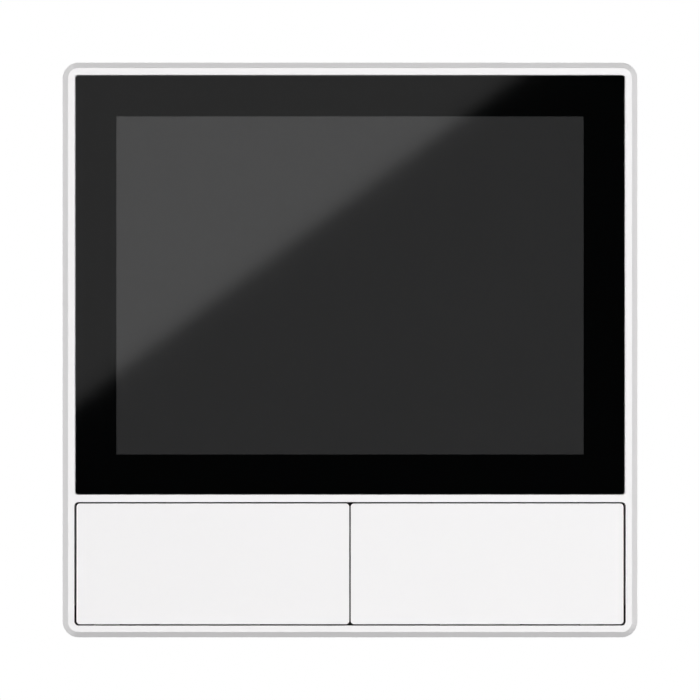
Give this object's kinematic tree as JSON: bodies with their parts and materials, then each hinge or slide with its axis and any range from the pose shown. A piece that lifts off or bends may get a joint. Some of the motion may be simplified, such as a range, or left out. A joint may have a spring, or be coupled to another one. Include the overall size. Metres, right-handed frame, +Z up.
{
  "type": "video intercom monitor",
  "caption": "Square flush wall monitor with a touch display and wide rocker keys, clipped to a wall frame with a rear box for its power supply.",
  "frame": {"origin": "on the wall plane, midway between the two fixing slots", "axes": "+X to the right and +Z up as seen from the front, +Y into the wall; the display faces -Y"},
  "size_m": [0.086, 0.0385, 0.086],
  "materials": {
    "face_plastic": "fine satin moulded white",
    "key_plastic": "fine satin moulded white",
    "cover_glass": "polished",
    "black_ink": "printed, opaque",
    "foam_tape": "foam tape",
    "sensor_film": "laminated film",
    "display_cell": "polished, dark when off",
    "backlight_plastic": "satin",
    "diffuser": "matt film",
    "light_guide": "clear acrylic",
    "led_strip": "flexible board with diodes",
    "sheet_steel": "tin-plated",
    "flexible_board": "amber polyimide",
    "main_board": "blue solder mask",
    "chip_resin": "moulded resin",
    "connector_plastic": "satin",
    "radio_board": "black solder mask",
    "switch_body": "moulded",
    "switch_plunger": "moulded red",
    "speaker_plastic": "moulded",
    "speaker_metal": "plated",
    "gasket_foam": "closed-cell foam",
    "lead_insulation": "soft insulation",
    "screw_steel": "zinc-plated",
    "box_plastic": "fine textured moulding",
    "power_board": "green solder mask",
    "pin_brass": "gold-flashed",
    "relay_case": "moulded blue",
    "ferrite": "sintered",
    "winding_tape": "polyester tape",
    "capacitor_sleeve": "shrunk sleeve",
    "film_capacitor": "potted box",
    "varistor_coat": "dipped epoxy",
    "choke_winding": "enamelled wire under clear sleeve",
    "fuse_glass": "glass tube with plated caps",
    "terminal_plastic": "moulded grey",
    "terminal_brass": "nickel-flashed brass"
  },
  "bodies": {
    "wall_base": {"wall_frame": "face_plastic", "rear_box": "box_plastic", "box_screws": "screw_steel", "power_board": "power_board", "header_base": "chip_resin", "header_pins": "pin_brass", "relay_1": "relay_case", "relay_2": "relay_case", "transformer_core": "ferrite", "transformer_winding": "winding_tape", "filter_capacitors": "capacitor_sleeve", "film_capacitor": "film_capacitor", "varistor": "varistor_coat", "rectifier": "chip_resin", "choke": "choke_winding", "fuse": "fuse_glass", "terminal_block": "terminal_plastic", "terminal_contacts": "terminal_brass"},
    "display_unit": {"front_bezel": "face_plastic", "cover_glass": "cover_glass", "black_mask": "black_ink", "glass_tape": "foam_tape", "touch_sensor": "sensor_film", "lcd_cell": "display_cell", "backlight_frame": "backlight_plastic", "diffuser_film": "diffuser", "light_guide": "light_guide", "backlight_leds": "led_strip", "lcd_shield": "sheet_steel", "display_flex": "flexible_board", "main_board": "main_board", "board_chips": "chip_resin", "board_connectors": "connector_plastic", "radio_board": "radio_board", "radio_shield": "sheet_steel", "board_socket": "chip_resin", "switch_left": "switch_body", "switch_right": "switch_body", "speaker_box": "speaker_plastic", "speaker_driver": "speaker_metal", "speaker_gasket": "gasket_foam", "speaker_wires": "lead_insulation", "microphone": "speaker_metal", "microphone_boot": "gasket_foam", "back_cover": "backlight_plastic", "cover_screws": "screw_steel", "board_screws": "screw_steel"},
    "key_left": {"key_left": "key_plastic"},
    "key_right": {"key_right": "key_plastic"},
    "plunger_left": {"plunger_left": "switch_plunger"},
    "plunger_right": {"plunger_right": "switch_plunger"},
    "terminal_screw_1": {"terminal_screw_1": "screw_steel"},
    "terminal_screw_2": {"terminal_screw_2": "screw_steel"},
    "terminal_screw_3": {"terminal_screw_3": "screw_steel"},
    "terminal_screw_4": {"terminal_screw_4": "screw_steel"},
    "terminal_cage_1": {"terminal_cage_1": "terminal_brass"},
    "terminal_cage_2": {"terminal_cage_2": "terminal_brass"},
    "terminal_cage_3": {"terminal_cage_3": "terminal_brass"},
    "terminal_cage_4": {"terminal_cage_4": "terminal_brass"}
  },
  "joints": [
    {"name": "display_release", "type": "slide", "parent": "wall_base", "child": "display_unit", "axis": [0, -1, 0], "range_m": [0, 0.025]},
    {"name": "key_left_press", "type": "hinge", "parent": "display_unit", "child": "key_left", "pos_m": [-0.0205, -0.0099, -0.0245], "axis": [1, 0, 0], "range_deg": [0, 2.6], "stiffness_Nm_per_rad": 0.3, "springref_deg": -0.11},
    {"name": "plunger_left_slide", "type": "slide", "parent": "display_unit", "child": "plunger_left", "axis": [0, 1, 0], "range_m": [0, 0.00053]},
    {"name": "key_right_press", "type": "hinge", "parent": "display_unit", "child": "key_right", "pos_m": [0.0205, -0.0099, -0.0245], "axis": [1, 0, 0], "range_deg": [0, 2.6], "stiffness_Nm_per_rad": 0.3, "springref_deg": -0.11},
    {"name": "plunger_right_slide", "type": "slide", "parent": "display_unit", "child": "plunger_right", "axis": [0, 1, 0], "range_m": [0, 0.00053]},
    {"name": "terminal_screw_1_turn", "type": "hinge", "parent": "wall_base", "child": "terminal_screw_1", "pos_m": [-0.01125, 0.0174, -0.0172], "axis": [0, -1, 0], "range_deg": [0, 2016]},
    {"name": "terminal_cage_1_rise", "type": "slide", "parent": "wall_base", "child": "terminal_cage_1", "axis": [0, 1, 0], "range_m": [0, 0.0028]},
    {"name": "terminal_screw_2_turn", "type": "hinge", "parent": "wall_base", "child": "terminal_screw_2", "pos_m": [-0.00375, 0.0174, -0.0172], "axis": [0, -1, 0], "range_deg": [0, 2016]},
    {"name": "terminal_cage_2_rise", "type": "slide", "parent": "wall_base", "child": "terminal_cage_2", "axis": [0, 1, 0], "range_m": [0, 0.0028]},
    {"name": "terminal_screw_3_turn", "type": "hinge", "parent": "wall_base", "child": "terminal_screw_3", "pos_m": [0.00375, 0.0174, -0.0172], "axis": [0, -1, 0], "range_deg": [0, 2016]},
    {"name": "terminal_cage_3_rise", "type": "slide", "parent": "wall_base", "child": "terminal_cage_3", "axis": [0, 1, 0], "range_m": [0, 0.0028]},
    {"name": "terminal_screw_4_turn", "type": "hinge", "parent": "wall_base", "child": "terminal_screw_4", "pos_m": [0.01125, 0.0174, -0.0172], "axis": [0, -1, 0], "range_deg": [0, 2016]},
    {"name": "terminal_cage_4_rise", "type": "slide", "parent": "wall_base", "child": "terminal_cage_4", "axis": [0, 1, 0], "range_m": [0, 0.0028]}
  ],
  "couplings": [
    {"joint": "plunger_left_slide", "follows": "key_left_press", "m_per_rad": 0.0116},
    {"joint": "plunger_right_slide", "follows": "key_right_press", "m_per_rad": 0.0116},
    {"joint": "terminal_screw_1_turn", "follows": "terminal_cage_1_rise", "rad_per_m": 12566},
    {"joint": "terminal_screw_2_turn", "follows": "terminal_cage_2_rise", "rad_per_m": 12566},
    {"joint": "terminal_screw_3_turn", "follows": "terminal_cage_3_rise", "rad_per_m": 12566},
    {"joint": "terminal_screw_4_turn", "follows": "terminal_cage_4_rise", "rad_per_m": 12566}
  ]
}
